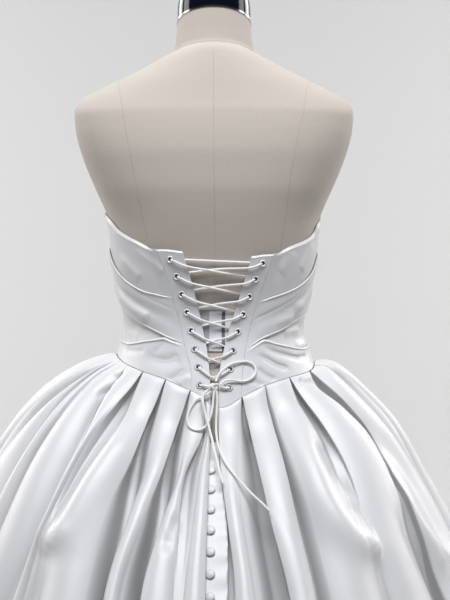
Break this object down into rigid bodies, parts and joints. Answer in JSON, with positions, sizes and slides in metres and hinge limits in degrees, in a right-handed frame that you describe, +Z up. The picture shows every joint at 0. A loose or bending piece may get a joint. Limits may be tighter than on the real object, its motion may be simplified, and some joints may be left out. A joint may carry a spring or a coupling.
{
  "type": "ball gown on limbless dress form",
  "caption": "Strapless ball gown of heavy satin with a laced, draped bodice and a full pleated floor-length skirt, on a limbless dress form and round base.",
  "frame": {"origin": "on the floor, under the middle of the stand's round base", "axes": "+Z up; the gown's laced back faces +Y and its front -Y; +X is the wearer's left"},
  "size_m": [1.416, 1.4138, 1.5559],
  "materials": {
    "satin": "heavy smooth white satin",
    "satin_cord": "round satin lace",
    "stay_tape": "plain woven ribbon",
    "eyelet_enamel": "white enamelled rings",
    "form_linen": "natural linen cover, fine plain weave",
    "cap_lacquer": "near-black navy gloss",
    "stand_steel": "dark satin paint"
  },
  "bodies": {
    "root": {"basque_front": "satin", "basque_left": "satin", "basque_right": "satin", "bodice_back_left": "satin", "bodice_back_right": "satin", "bodice_front": "satin", "bow_knot": "satin_cord", "bow_loop_left": "satin_cord", "bow_loop_right": "satin_cord", "button_1": "satin", "button_10": "satin", "button_11": "satin", "button_12": "satin", "button_13": "satin", "button_2": "satin", "button_3": "satin", "button_4": "satin", "button_5": "satin", "button_6": "satin", "button_7": "satin", "button_8": "satin", "button_9": "satin", "button_placket": "satin", "drape_band_front": "satin", "drape_band_left": "satin", "drape_band_right": "satin", "eyelet_left_1": "eyelet_enamel", "eyelet_left_2": "eyelet_enamel", "eyelet_left_3": "eyelet_enamel", "eyelet_left_4": "eyelet_enamel", "eyelet_left_5": "eyelet_enamel", "eyelet_left_6": "eyelet_enamel", "eyelet_left_7": "eyelet_enamel", "eyelet_left_8": "eyelet_enamel", "eyelet_right_1": "eyelet_enamel", "eyelet_right_2": "eyelet_enamel", "eyelet_right_3": "eyelet_enamel", "eyelet_right_4": "eyelet_enamel", "eyelet_right_5": "eyelet_enamel", "eyelet_right_6": "eyelet_enamel", "eyelet_right_7": "eyelet_enamel", "eyelet_right_8": "eyelet_enamel", "form_base": "stand_steel", "form_neck_cap": "cap_lacquer", "form_pole": "stand_steel", "form_torso": "form_linen", "lace_end_long": "satin_cord", "lace_end_short": "satin_cord", "lacing_cord": "satin_cord", "lacing_panel_left": "satin", "lacing_panel_right": "satin", "skirt_back_left": "satin", "skirt_back_right": "satin", "skirt_front": "satin", "waist_stay": "stay_tape"}
  },
  "joints": []
}
